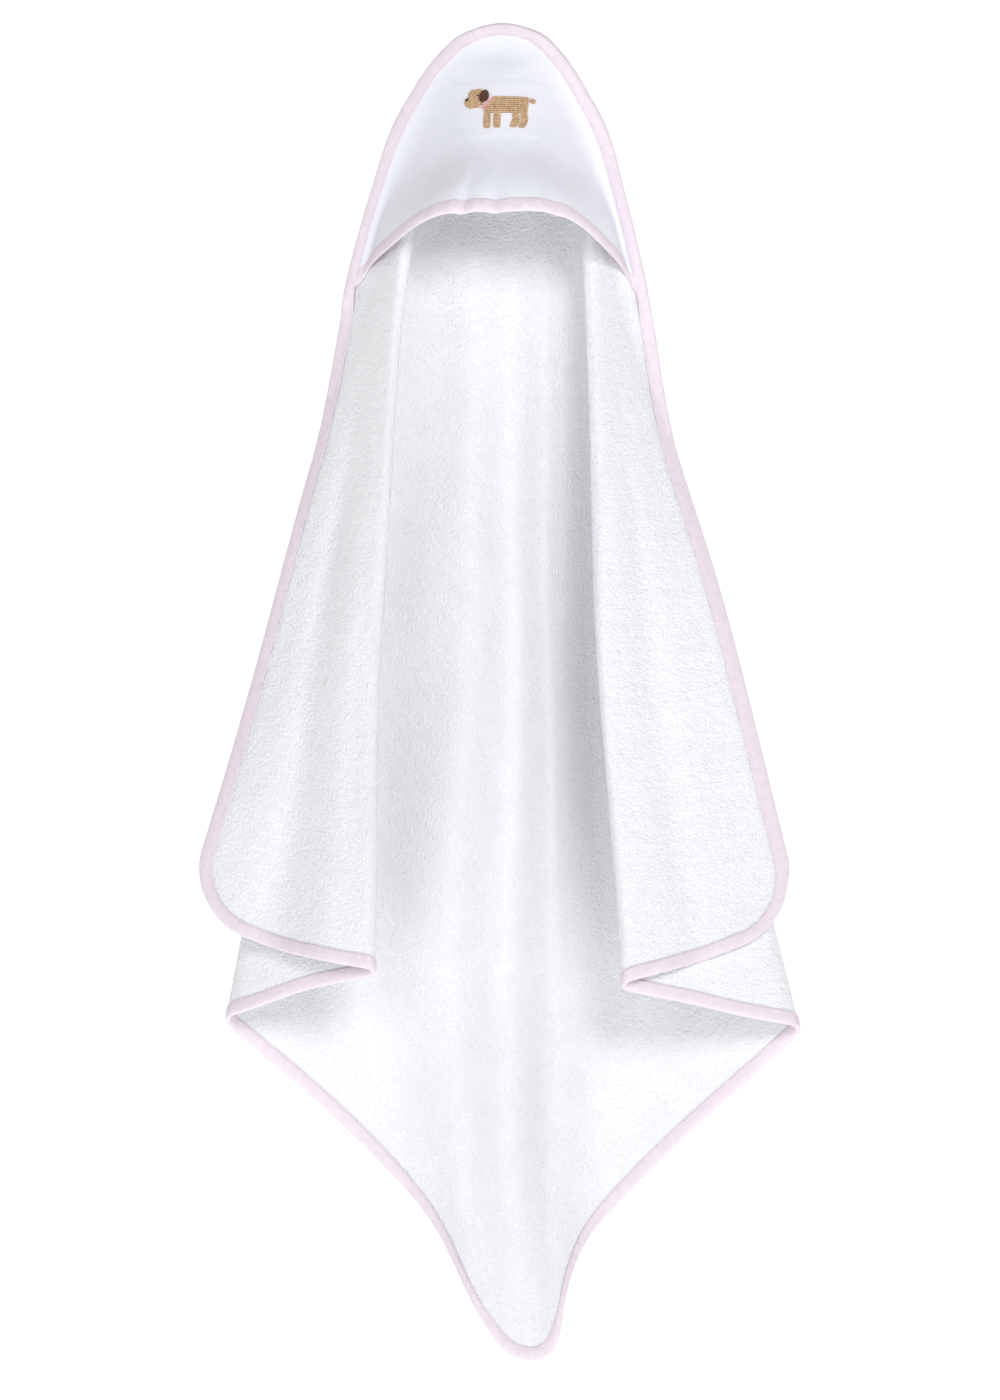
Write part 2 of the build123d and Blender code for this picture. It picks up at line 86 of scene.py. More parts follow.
def smooth(low, high, value):
    t = np.clip((value - low) / (high - low), 0.0, 1.0)
    return t * t * (3 - 2 * t)


def curve(places, values, at):
    places = np.asarray(places, float)
    values = np.asarray(values, float).reshape(len(places), -1)
    step = np.diff(places)[:, None]
    rise = np.diff(values, axis=0) / step
    slope = np.empty_like(values)
    slope[1:-1] = (rise[:-1] * step[1:] + rise[1:] * step[:-1]) / (step[1:] + step[:-1])
    slope[0] = rise[0]
    slope[-1] = rise[-1]
    i = np.clip(np.searchsorted(places, at) - 1, 0, len(places) - 2)
    t = ((at - places[i]) / step[i, 0])[:, None]
    h = step[i]
    return (values[i] * (2 * t**3 - 3 * t**2 + 1) + slope[i] * h * (t**3 - 2 * t**2 + t)
            + values[i + 1] * (-2 * t**3 + 3 * t**2) + slope[i + 1] * h * (t**3 - t**2))


def open_folds(keys, r):
    places = []
    soft = []
    for n in range(11):
        if n not in sharp_folds:
            places.append(keys[:, n])
            soft.append(np.full(len(r), float(key_softness[n])))
            continue
        here = keys[:, n, 1:]
        before = keys[:, n - 1, 1:] - here
        after = keys[:, n + 1, 1:] - here
        before /= np.linalg.norm(before, axis=1)[:, None]
        after /= np.linalg.norm(after, axis=1)[:, None]
        across = before - after
        across /= np.linalg.norm(across, axis=1)[:, None]
        turn = np.degrees(0.62 * fold_width / np.maximum(r, 60))
        for sign in (1, -1):
            shifted = here + sign * across * fold_width / 2
            places.append(np.column_stack([keys[:, n, 0] - sign * turn, shifted]))
            soft.append(np.degrees(0.45 * fold_width / np.maximum(r, 60)))
    return np.stack(places, axis=1), np.stack(soft[1:-1], axis=1)


def pleated(keys, soft, theta, column):
    angle = keys[:, :, 0]
    value = keys[:, :, column]
    slope = np.diff(value, axis=1) / np.diff(angle, axis=1)
    kink = np.diff(slope, axis=1) / 2
    inner = angle[:, 1:-1]

    def bends(at):
        return (kink[:, None, :] * np.hypot(at[:, :, None] - inner[:, None, :], soft[:, None,
                :])).sum(axis=2)

    first = value[:, :1] - bends(angle[:, :1])
    last = value[:, -1:] - bends(angle[:, -1:])
    share = (theta - angle[:, :1]) / (angle[:, -1:] - angle[:, :1])
    return bends(theta) + first * (1 - share) + last * share


class Drape:
    """The hanging surface as a table over theta and r, read by cubic interpolation."""

    def __init__(self, hood):
        self.dr = 5.0
        self.dt = 0.5
        self.r = np.arange(0.0, 1111.0, self.dr)
        self.t = np.arange(-50.0, 50.01, self.dt)
        r = self.r
        theta = np.broadcast_to(self.t, (len(r), len(self.t)))
        lower = sorted(stations)
        seams = []
        for seam, column in ((seam_left, 0), (seam_right, 10)):
            places = sorted(seam) + [s for s in lower if s > 190]
            values = [seam[p] for p in sorted(seam)] + [stations[s][column][1:] for s in lower if s > 190]
            seams.append(curve(places, values, r))
        arc = r[:, None] * np.radians(45 - np.abs(theta))
        width = (flange * smooth(10, 90, r) * (1 - smooth(240, 400, r)))[:, None] + 1e-6
        ease = 0.8 * width
        whole = r[:, None] * math.radians(45)

        def past_seam(distance):
            return (distance - width + np.hypot(distance - width, ease)) / 2

        inside = past_seam(arc) - past_seam(0 * arc)
        reach = past_seam(whole) - past_seam(0 * whole)
        out = np.clip(width - arc + inside, 0, None)
        sign = np.where(theta < 0, -1.0, 1.0)
        turn = sign * 45 * (1 - np.clip(inside / np.maximum(reach, 1e-9), None, 1.0))
        keys = curve(lower, [np.ravel(stations[s]) for s in lower], np.clip(r, lower[0], None))
        keys = keys.reshape(len(r), 11, 3)
        for column, seam in ((0, seams[0]), (10, seams[1])):
            keys[:, column, 1:] = seam
        side_to_side = np.sin(2 * np.radians(turn))
        swell = np.cos(2 * np.radians(turn))
        middle = (seams[0] + seams[1]) / 2
        half = (seams[1] - seams[0]) / 2
        crown = [middle[:, c, None] + half[:, c, None] * side_to_side for c in (0, 1)]
        flat = (1 - smooth(20, 110, r))[:, None]
        crown[0] = crown[0] * (1 - flat) + (r[:, None] * np.sin(np.radians(turn)) * 0.93) * flat
        if hood:
            front = curve(sorted(hood_swell), [hood_swell[p] for p in sorted(hood_swell)], np.clip(r, 0,
                          300))
            boxy = smooth(60, 190, r)[:, None]      # held open, the mouth has a broad flat front
            swell = swell + boxy * (1 - np.abs(side_to_side)**hood_squareness - swell)
            even = 0.75 * (1 - smooth(130, 200, r))[:,
                                                    None] * (1 - flat)     # cloth keeps its width up here
            x = crown[0] + half[:, 0, None] * even * (turn / 45 - side_to_side)
            x = x * (1 + 0.08 * boxy * np.cos(2 * np.radians(turn))**2)
            y = crown[1] - front * swell
            # two soft upright wrinkles above the hem
            for at, deep in ((-7.5, 2.4), (-0.5, 1.8), (12.0, 1.2)):
                y = y + deep * (smooth(135, 185, r)[:, None]) * np.exp(-((theta - at) / 1.6)**2) * (r[:,
                        None] < 400)
        else:
            back = curve(sorted(back_swell), [back_swell[p] for p in sorted(back_swell)], np.clip(r, 0,
                         275))
            low = smooth(130, 215, r)[:, None]
            keys, soft = open_folds(keys, r)
            x = (1 - low) * crown[0] + low * pleated(keys, soft, turn, 1)
            y = (1 - low) * (crown[1] + back * swell) + low * pleated(keys, soft, turn, 2)
        lean = np.sqrt(np.clip(1 - np.gradient(seams[1][:, 0], self.dr)**2, 0.3, 1))[:, None]
        for direction, which in ((seam_out_left, theta < 0), (seam_out_right, theta >= 0)):
            x = x + np.where(which, out * lean * direction[0], 0)
            y = y + np.where(which, out * direction[1], 0)
        if not hood:
            # slow unevenness of hanging cloth
            wave = 2.2 * smooth(260, 520, r)[:, None]
            y = y + wave * np.sin(r[:, None] / 61.0 + theta * 0.31) * np.cos(theta * 0.23 + r[:,
                    None] / 143.0)
            x = x + 0.8 * wave * np.sin(r[:, None] / 83.0 - theta * 0.27 + 1.3)
            # soft valleys down the two flaps, and a waving lower hem
            grow = smooth(280, 480, r)[:, None]
            y = y + 7.0 * grow * np.exp(-((theta + 39.6) / 1.5)**2)
            y = y + 4.0 * grow * np.exp(-((theta - 38.2) / 1.3)**2)
            y = y - 3.0 * grow * np.exp(-((theta + 36.4) / 1.2)**2)
            hem_wave = smooth(880, 1050, r)[:, None] * np.cos(np.radians(theta))
            x = x + 4.5 * hem_wave * np.sin(np.radians(theta) * 34 + 0.6)
        stretch = 1 + bias_stretch * np.cos(2 * np.radians(theta))**2
        fall = np.gradient(x, self.dr, axis=0)**2 + np.gradient(y, self.dr, axis=0)**2
        drop = np.sqrt(np.clip(stretch**2 - fall, 0.05, None))
        z = np.zeros_like(x)
        z[1:] = -np.cumsum((drop[1:] + drop[:-1]) / 2 * self.dr, axis=0)
        z += corner_radius * (math.sqrt(2) - 1)
        self.table = np.stack([x, y, z], axis=2)

    def point(self, r, theta):
        r = np.asarray(r, float) / self.dr
        t = (np.asarray(theta, float) - self.t[0]) / self.dt
        i = np.clip(np.floor(r).astype(int), 1, len(self.r) - 3)
        j = np.clip(np.floor(t).astype(int), 1, len(self.t) - 3)
        u = (r - i)[..., None]
        v = (t - j)[..., None]

        def blend(a, b, c, d, s):
            return b + 0.5 * s * (c - a + s * (2 * a - 5 * b + 4 * c - d + s * (3 * (b - c) + d - a)))

        rows = []
        for n in (-1, 0, 1, 2):
            rows.append(blend(*[self.table[i + n, j + m] for m in (-1, 0, 1, 2)], v))
        return blend(*rows, u)

    def place(self, p, q):
        return self.point(np.hypot(p, q), np.degrees(np.arctan2(q, p)) - 45)

    def at(self, p, q, lift=0.0):
        p = np.asarray(p, float)
        q = np.asarray(q, float)
        e = 1.5
        along = self.place(p + e, q) - self.place(p - e, q)
        across = self.place(p, q + e) - self.place(p, q - e)
        normal = np.cross(along, across)
        normal /= np.linalg.norm(normal, axis=-1)[..., None]
        return self.place(p, q) + normal * np.asarray(lift, float)[..., None]


towel = Drape(hood=False)
hood = Drape(hood=True)


def edge_distance(p, q):
    half = side / 2
    a = half - corner_radius - np.abs(np.asarray(p) - half)
    b = half - corner_radius - np.abs(np.asarray(q) - half)
    outside = np.hypot(np.minimum(a, 0), np.minimum(b, 0))
    return corner_radius - outside + np.maximum(np.minimum(a, b), 0)


def ring(inset, spacing):
    """Rounded outline of the square at an inset, as one closed run of (p, q)."""
    low = inset
    high = side - inset
    r = corner_radius - inset
    points = []
    corners = [(low + r, low + r, 225), (high - r, low + r, 315), (high - r, high - r, 45), (low + r,
               high - r, 135)]
    bend = max(8, int(corner_radius * math.pi / 2 / spacing))
    straight = int((side - 2 * corner_radius) / spacing)
    for i, (cp, cq, middle) in enumerate(corners):
        angles = np.radians(np.linspace(middle - 45, middle + 45, bend, endpoint=False))
        points.append(np.stack([cp + r * np.cos(angles), cq + r * np.sin(angles)], axis=1))
        end = np.array([cp + r * math.cos(math.radians(middle + 45)),
                       cq + r * math.sin(math.radians(middle + 45))])
        np_, nq, nm = corners[(i + 1) % 4]
        start = np.array([np_ + r * math.cos(math.radians(nm - 45)),
                         nq + r * math.sin(math.radians(nm - 45))])
        share = np.linspace(0, 1, straight, endpoint=False)[:, None]
        points.append(end * (1 - share) + start * share)
    return np.concatenate(points)


def flat_reach(phi):
    c, s = math.cos(phi), math.sin(phi)
    dot = corner_radius * (c + s)
    near = dot - math.sqrt(max(dot * dot - corner_radius**2, 0.0))
    far = side / max(c, s)
    centres = [(side - corner_radius, side - corner_radius)]
    centres.append((side - corner_radius, corner_radius) if c > s else (corner_radius,
                   side - corner_radius))
    for cp, cq in centres:
        outside_p = (far * c - cp) * (1 if cp > side / 2 else -1) > 0
        outside_q = (far * s - cq) * (1 if cq > side / 2 else -1) > 0
        if outside_p and outside_q:
            dot = cp * c + cq * s
            root = dot * dot - (cp * cp + cq * cq - corner_radius**2)
            far = dot + math.sqrt(max(root, 0.0))
    return near, far


# ---- meshes -----------------------------------------------------------------


def mesh_piece(name, points, faces, flat=None, material=None, slots=None):
    """Object from millimetre points and quads; flat gives each point's (p, q)."""
    mesh = bpy.data.meshes.new(name)
    faces = [np.asarray(f) for f in faces] if isinstance(faces, list) else [np.asarray(faces)]
    loops = np.concatenate([f.reshape(-1) for f in faces])
    sizes = np.concatenate([np.full(len(f), f.shape[1]) for f in faces])
    mesh.vertices.add(len(points))
    mesh.vertices.foreach_set("co", (np.asarray(points) * 0.001).astype(np.float32).ravel())
    mesh.loops.add(len(loops))
    mesh.loops.foreach_set("vertex_index", loops.astype(np.int32))
    mesh.polygons.add(len(sizes))
    mesh.polygons.foreach_set("loop_start", np.concatenate([[0], np.cumsum(sizes)[:-1]]).astype(np.int32))
    mesh.update(calc_edges=True)
    if flat is not None:
        layer = mesh.uv_layers.new(name="flat")
        layer.data.foreach_set("uv", (np.asarray(flat)[loops] / 1000).astype(np.float32).ravel())
    mesh.polygons.foreach_set("use_smooth", np.ones(len(sizes), bool))
    mesh.validate()
    piece = bpy.data.objects.new(name, mesh)
    bpy.context.scene.collection.objects.link(piece)
    for m in (material if isinstance(material, (list, tuple)) else [material]):
        mesh.materials.append(m)
    if slots is not None:
        mesh.polygons.foreach_set("material_index", slots.astype(np.int32))
    return piece


def sheet_mesh(drape, lines, front, back):
    """Closed sheet over a grid of flat (p, q) lines between two lifts."""
    grid = np.asarray(lines)
    n, m, _ = grid.shape
    p, q = grid[..., 0], grid[..., 1]
    top = drape.at(p, q, front(p, q) if callable(front) else front)
    under = drape.at(p, q, back(p, q) if callable(back) else back)
    points = np.concatenate([top.reshape(-1, 3), under.reshape(-1, 3)])
    flat = np.concatenate([grid.reshape(-1, 2)] * 2)
    i, j = np.meshgrid(np.arange(n - 1), np.arange(m - 1), indexing="ij")
    a = (i * m + j).ravel()
    upper = np.stack([a, a + 1, a + m + 1, a + m], axis=1)
    lower = np.stack([a, a + m, a + m + 1, a + 1], axis=1) + n * m
    outline = np.concatenate([np.arange(m) , (np.arange(1, n) * m + m - 1),
                              (n - 1) * m + np.arange(m - 2, -1, -1), np.arange(n - 2, 0, -1) * m])
    nxt = np.roll(outline, -1)
    rim = np.stack([outline, outline + n * m, nxt + n * m, nxt], axis=1)
    return points, np.concatenate([upper, lower, rim]), flat, len(upper)


def tube_mesh(rails, closed):
    """Tube of quads round a loop of rails (each an array of points)."""
    rails = np.asarray(rails)
    k, n, _ = rails.shape
    i, j = np.meshgrid(np.arange(k), np.arange(n if closed else n - 1), indexing="ij")
    i, j = i.ravel(), j.ravel()
    i2, j2 = (i + 1) % k, (j + 1) % n
    faces = [np.stack([i * n + j, i2 * n + j, i2 * n + j2, i * n + j2], axis=1)]
    if not closed:
        faces.append(np.arange(k)[None, ::-1] * n)
        faces.append(np.arange(k)[None, :] * n + n - 1)
    return rails.reshape(-1, 3), faces


def fan(count, close):
    """Directions 0..90 degrees, closer together at both edges of the square."""
    t = np.linspace(0, 1, count)
    return 90 * (t - close * np.sin(2 * math.pi * t) / (2 * math.pi))


# ---- materials ------------------------------------------------------------------


def material(name, colour, roughness, sheen=0.0, kind="terry", dark=0.9, bump=0.3, depth=0.0006):
    """Cloth material on the flat pattern: kind is terry, fine, tape, thread or felt."""
    m = bpy.data.materials.new(name)
    m.use_nodes = True
    t = m.node_tree
    t.nodes.clear()
    out = t.nodes.new("ShaderNodeOutputMaterial")
    bsdf = t.nodes.new("ShaderNodeBsdfPrincipled")
    t.links.new(bsdf.outputs[0], out.inputs[0])
    bsdf.inputs["Roughness"].default_value = roughness
    bsdf.inputs["Specular IOR Level"].default_value = 0.25
    bsdf.inputs["Sheen Weight"].default_value = sheen
    bsdf.inputs["Sheen Roughness"].default_value = 0.5
    if kind in ("thread", "felt"):
        where = t.nodes.new("ShaderNodeTexCoord").outputs["Object"]
    else:
        uv = t.nodes.new("ShaderNodeUVMap")
        uv.uv_map = "flat"
        where = uv.outputs[0]

    def noise(size, detail=2.0, rough=0.5, stretch=None):
        vector = where
        if stretch:
            mapping = t.nodes.new("ShaderNodeMapping")
            mapping.inputs["Scale"].default_value = stretch
            t.links.new(where, mapping.inputs[0])
            vector = mapping.outputs[0]
        n = t.nodes.new("ShaderNodeTexNoise")
        n.inputs["Scale"].default_value = 1.0 / size
        n.inputs["Detail"].default_value = detail
        n.inputs["Roughness"].default_value = rough
        t.links.new(vector, n.inputs["Vector"])
        return n.outputs["Fac"]

    def mix(a, b, op):
        n = t.nodes.new("ShaderNodeMath")
        n.operation = op
        for k, v in ((0, a), (1, b)):
            if isinstance(v, (int, float)):
                n.inputs[k].default_value = v
            else:
                t.links.new(v, n.inputs[k])
        return n.outputs[0]

    def wave(size, turn):
        mapping = t.nodes.new("ShaderNodeMapping")
        mapping.inputs["Rotation"].default_value = (0, 0, math.radians(turn))
        t.links.new(where, mapping.inputs[0])
        n = t.nodes.new("ShaderNodeTexWave")
        n.inputs["Scale"].default_value = 0.314 / size
        n.inputs["Distortion"].default_value = 0.6
        n.inputs["Detail"].default_value = 1.0
        n.inputs["Detail Scale"].default_value = 1.5
        t.links.new(mapping.outputs[0], n.inputs["Vector"])
        return n.outputs["Fac"]

    if kind == "terry":
        loops = t.nodes.new("ShaderNodeTexVoronoi")
        loops.inputs["Scale"].default_value = 1 / 0.0021
        loops.inputs["Randomness"].default_value = 0.9
        t.links.new(where, loops.inputs["Vector"])
        streaks = noise(0.0045, 3.0, 0.65, (1.0, 2.6, 1.0))
        fine = noise(0.0013, 2.0, 0.6)
        height = mix(mix(loops.outputs["Distance"], -0.9, "MULTIPLY"), mix(streaks, 1.1, "MULTIPLY"),
                     "ADD")
        height = mix(height, mix(fine, 0.5, "MULTIPLY"), "ADD")
        tone = mix(mix(streaks, 0.6, "MULTIPLY"), mix(noise(0.03, 2.0), 0.4, "MULTIPLY"), "ADD")
    elif kind == "fine":
        height = mix(wave(0.0007, 0), wave(0.0007, 90), "ADD")
        height = mix(height, mix(noise(0.004, 3.0), 1.4, "MULTIPLY"), "ADD")
        tone = noise(0.018, 3.0)
    elif kind == "tape":
        height = mix(wave(0.0009, 45), wave(0.0009, 135), "ADD")
        height = mix(height, mix(noise(0.0035, 3.0), 2.2, "MULTIPLY"), "ADD")
        tone = noise(0.006, 3.0)
    elif kind == "thread":
        height = noise(0.0006, 2.0, 0.6)
        tone = noise(0.0022, 2.0, 0.6)
    else:
        height = noise(0.0012, 4.0, 0.7)
        tone = noise(0.006, 2.0)
    ramp = t.nodes.new("ShaderNodeValToRGB")
    ramp.color_ramp.elements[0].position = 0.32
    ramp.color_ramp.elements[1].position = 0.68
    ramp.color_ramp.elements[0].color = tuple(c * dark for c in colour) + (1,)
    ramp.color_ramp.elements[1].color = tuple(colour) + (1,)
    t.links.new(tone, ramp.inputs[0])
    t.links.new(ramp.outputs[0], bsdf.inputs["Base Color"])
    b = t.nodes.new("ShaderNodeBump")
    b.inputs["Strength"].default_value = bump
    b.inputs["Distance"].default_value = depth
    t.links.new(height, b.inputs["Height"])
    t.links.new(b.outputs[0], bsdf.inputs["Normal"])
    return m


terry_cloth = material("white_terry", (0.835, 0.84, 0.865), 0.95, 0.25, "terry", 0.93, bump=0.75,
                       depth=0.0011)
hood_cloth = material("white_hood_cloth", (0.80, 0.81, 0.87), 0.75, 0.1, "fine", 0.97, bump=0.25,
                      depth=0.0003)
pink_tape = material("pink_binding", (0.80, 0.71, 0.785), 0.8, 0.1, "tape", 0.93, bump=0.4, depth=0.0004)
pink_thread = material("pink_thread", (0.82, 0.66, 0.75), 0.55, 0.1, "thread", 0.88, bump=0.3,
                       depth=0.0001)
tan_floss = material("tan_embroidery", (0.86, 0.60, 0.35), 0.5, 0.2, "thread", 0.60, bump=0.5,
                     depth=0.0002)
# painted shade: dark floss colour for the lower under-chain, standing for the shadow in the gaps between
# the tan chain links
painted_gap_shade_floss = material("tan_embroidery_painted_gap_shade", (0.34, 0.13, 0.045), 0.6, 0.2, "thread", 0.7, bump=0.5,
                       depth=0.0002)
brown_floss = material("brown_embroidery", (0.115, 0.042, 0.022), 0.5, 0.2, "thread", 0.6, bump=0.5,
                       depth=0.0002)
rose_floss = material("rose_embroidery", (0.80, 0.42, 0.42), 0.5, 0.2, "thread", 0.85, bump=0.5,
                      depth=0.0002)
black_floss = material("black_embroidery", (0.015, 0.012, 0.012), 0.4, 0.1, "thread", 0.7, bump=0.5,
                       depth=0.0002)
backing_felt = material("white_backing", (0.86, 0.86, 0.86), 0.9, 0.0, "felt", 0.95, bump=0.5,
                        depth=0.0003)
label_satin = material("white_label", (0.88, 0.88, 0.88), 0.35, 0.1, "felt", 0.97, bump=0.1, depth=0.0001)

# ---- towel body -------------------------------------------------------------------
terry_front = -hood_gap
terry_back = -hood_gap - terry_thickness


def pile(p, q, seed):
    """Uneven height of the pile, in millimetres."""
    a = np.sin(p * 0.83 + 1.7 * np.sin(q * 0.41 + seed)) * np.cos(q * 0.77 + 1.3 * np.sin(p * 0.37 - seed))
    b = np.sin(p * 0.31 + q * 0.23 + 2 * np.sin(q * 0.11)) * np.cos(q * 0.29 - p * 0.17)
    return 0.16 * a + 0.18 * b


def terry_face(base, towards):
    """Lift of one terry face: pressed down under the binding, uneven elsewhere."""
    def lift(p, q):
        free = smooth(8.5, 14.0, edge_distance(p, q))
        return base + towards * 0.5 * (1 - free) - towards * pile(p, q, base) * free
    return lift


lines = []
stations_along = np.linspace(0, 1, 330)
for degrees in fan(290, 0.55):
    phi = math.radians(min(max(degrees, 1e-4), 90 - 1e-4))
    near, far = flat_reach(phi)
    r = near + (far - near) * stations_along
    lines.append(np.stack([r * math.cos(phi), r * math.sin(phi)], axis=1))
points, faces, flat, _ = sheet_mesh(towel, lines, terry_face(terry_front, -1), terry_face(terry_back, 1))
terry = mesh_piece("towel_terry", points, faces, flat, terry_cloth)

# ---- hood: smooth outside, terry loops inside ---------------------------------------
hood_front = hood_gap + hood_thickness
lines = []
for degrees in fan(150, 0.6):
    phi = math.radians(min(max(degrees, 1e-4), 90 - 1e-4))
    near, _ = flat_reach(phi)
    far = hood_leg / (math.cos(phi) + math.sin(phi))
    r = near + (far - near) * np.linspace(0, 1, 110)
    lines.append(np.stack([r * math.cos(phi), r * math.sin(phi)], axis=1))


def hood_outside(p, q):
    """The stabiliser behind the motif shows as a faint raised rectangle."""
    x = (q - p) / math.sqrt(2)
    y = motif_down - (p + q) / math.sqrt(2)
    patch = smooth(33.5, 31.5, np.abs(x)) * smooth(24.5, 22.5, np.abs(y))
    return hood_front + 0.30 * patch


points, faces, flat, outside = sheet_mesh(hood, lines, hood_outside, hood_gap)
slots = np.ones(len(faces))
slots[:outside] = 0
hood_piece = mesh_piece("hood_cloth", points, faces, flat, [hood_cloth, terry_cloth], slots)

# ---- perimeter binding ----------------------------------------------------------------
seam_room = 0.08


def front_of_edge(p, q, lift):
    on_hood = 1 - smooth(hood_leg + 2, hood_leg + 26, p + q)
    over_hood = hood.at(p, q, hood_front + seam_room + lift)
    over_terry = towel.at(p, q, terry_front + seam_room + lift)
    return over_terry + (over_hood - over_terry) * on_hood[:, None]


def back_of_edge(p, q, lift):
    return towel.at(p, q, terry_back - seam_room - lift)


def pucker(n, count, deep):
    """Small ripples where the tape is drawn in by its stitches."""
    s = np.arange(n) * (count / n) * 2 * math.pi
    return deep * (np.sin(s + 0.7 * np.sin(s * 0.137)) + 0.6 * np.sin(s * 0.43 + 1.1))


def edge_rail(inset, face, lift, spacing=2.0):
    pq = ring(inset, spacing)
    p, q = pq[:, 0], pq[:, 1]
    if face == "front":
        return front_of_edge(p, q, lift + pucker(len(p), 620, 0.10 * (1 if lift > 0.2 else 0))), pq
    if face == "back":
        return back_of_edge(p, q, lift + pucker(len(p), 620, 0.10 * (1 if lift > 0.2 else 0))), pq
    return (front_of_edge(p, q, lift) + back_of_edge(p, q, lift)) / 2, pq


leg = tape_width - 0.6
edge_section = [
    (leg + 0.05, "front", 0.30), (leg - 0.6, "front", 0.62), (leg - 1.4, "front", 0.42), (leg - 2.6,
            "front", 0.70),
    (leg - 4.4, "front", 0.85), (leg - 6.6, "front", 0.80), (1.0, "front", 0.62), (-0.3, "front", 0.05),
    (-1.0, "middle", 0), (-0.3, "back", 0.05), (1.0, "back", 0.62), (leg - 6.6, "back", 0.80),
    (leg - 4.4, "back", 0.85), (leg - 2.6, "back", 0.70), (leg - 1.4, "back", 0.42), (leg - 0.6, "back",
            0.62),
    (leg + 0.05, "back", 0.30), (leg, "back", 0.0), (4.0, "back", 0.0), (0.25, "back", 0.0),
    (-0.35, "middle", 0), (0.25, "front", 0.0), (4.0, "front", 0.0), (leg, "front", 0.0)]
rails, flats = zip(*[edge_rail(*s) for s in edge_section])
points, faces = tube_mesh(rails, True)
edge_tape = mesh_piece("edge_binding_tape", points, faces, np.concatenate(flats), pink_tape)


def stitches(name, path, up, length, gap, width, mat):
    """Separate stitches along a closed or open path of points, as small rounded
    lengths of thread.  up is each point's outward direction."""
    steps = np.linalg.norm(np.diff(path, axis=0), axis=1)
    s = np.concatenate([[0], np.cumsum(steps)])
    count = int(s[-1] / (length + gap))
    sides_, rings_ = 6, 7
    u = np.linspace(-1, 1, rings_)
    starts = (np.arange(count) + 0.5) * s[-1] / count
    along = starts[:, None] + u[None, :] * length / 2
    centre = np.stack([np.interp(along, s, path[:, k]) for k in range(3)], axis=2)
    lift = np.stack([np.interp(along, s, up[:, k]) for k in range(3)], axis=2)
    lift /= np.linalg.norm(lift, axis=2)[..., None]
    tangent = np.gradient(centre, axis=1)
    tangent /= np.linalg.norm(tangent, axis=2)[..., None]
    sideways = np.cross(tangent, lift)
    swell = np.sqrt(np.clip(1 - u**2, 0, 1)) * 0.85 + 0.15
    rise = (1 - u**4) * 0.5 * width - 0.25 * width
    a = np.linspace(0, 2 * math.pi, sides_, endpoint=False)
    ring_ = (centre[:, :, None] + lift[:, :, None] * rise[None, :, None, None]
             + (sideways[:, :, None] * np.cos(a)[None, None, :, None]
                + lift[:, :, None] * np.sin(a)[None, None, :, None]) * (width / 2 * swell)[None, :,
                        None, None])
    points = ring_.reshape(-1, 3)
    base = (np.arange(count) * rings_ * sides_)[:, None, None]
    i, j = np.meshgrid(np.arange(rings_ - 1), np.arange(sides_), indexing="ij")
    quad = np.stack([i * sides_ + j, i * sides_ + (j + 1) % sides_, (i + 1) * sides_ + (j + 1) % sides_,
                     (i + 1) * sides_ + j], axis=-1).reshape(1, -1, 4)
    quads = (base + quad).reshape(-1, 4)
    first = (np.arange(count) * rings_ * sides_)[:, None] + np.arange(sides_)[None, ::-1]
    last = (np.arange(count) * rings_ * sides_ + (rings_ - 1) * sides_)[:,
            None] + np.arange(sides_)[None, :]
    return mesh_piece(name, points, [quads, first, last], None, mat)


def edge_stitches(name, face):
    pq = ring(leg - 1.4, 1.5)
    pq = np.concatenate([pq, pq[:1]])
    of = front_of_edge if face == "front" else back_of_edge
    path = of(pq[:, 0], pq[:, 1], 0.55)
    return stitches(name, path, of(pq[:, 0], pq[:, 1], 1.55) - path, 2.3, 0.55, 0.42, pink_thread)


needle = edge_stitches("edge_stitches_front", "front")
bobbin = edge_stitches("edge_stitches_back", "back")

# ---- hood hem binding ---------------------------------------------------------------------
hem_room = 0.08
outer = hood_front + hem_room
inner = hood_gap - hem_room


def hem_rail(inset, lift, count=420, end=2.2, ripple=0.0):
    run = hood_leg - inset * math.sqrt(2)
    share = np.linspace(0, 1, count)
    p = end + (run - 2 * end) * share
    q = run - p
    return hood.at(p, q, lift + pucker(count, 78, ripple)), np.stack([p, q], axis=1)


hem_section = [
    (leg + 0.05, outer + 0.30, 0), (leg - 0.6, outer + 0.62, 0.1), (leg - 1.4, outer + 0.42, 0.1),
    (leg - 2.6, outer + 0.72, 0.12), (leg - 4.4, outer + 0.9, 0.12), (leg - 6.6, outer + 0.85, 0.12),
    (1.0, outer + 0.62, 0.06), (-0.4, outer + 0.1, 0), (-0.9, (outer + inner) / 2, 0), (-0.4,
            inner - 0.1, 0),
    (1.0, inner - 0.5, 0), (leg - 4.4, inner - 0.55, 0), (leg - 1.4, inner - 0.4, 0), (leg, inner - 0.3,
            0),
    (leg, inner, 0), (4.0, inner, 0), (0.2, inner, 0), (-0.3, (outer + inner) / 2, 0), (0.2, outer, 0),
    (4.0, outer, 0), (leg, outer, 0)]
rails, flats = zip(*[hem_rail(i, l, ripple=w) for i, l, w in hem_section])
points, faces = tube_mesh(rails, False)
hem_tape = mesh_piece("hood_hem_tape", points, faces, np.concatenate(flats), pink_tape)


def hem_stitches(name, lift, sign):
    path, _ = hem_rail(leg - 1.4, lift, 300, 10.5)
    above, _ = hem_rail(leg - 1.4, lift + sign, 300, 10.5)
    return stitches(name, path, above - path, 2.3, 0.55, 0.42, pink_thread)


hem_needle = hem_stitches("hood_hem_stitches_front", outer + 0.55, 1)
hem_bobbin = hem_stitches("hood_hem_stitches_back", inner - 0.5, -1)

# ---- embroidered puppy --------------------------------------------------------------------


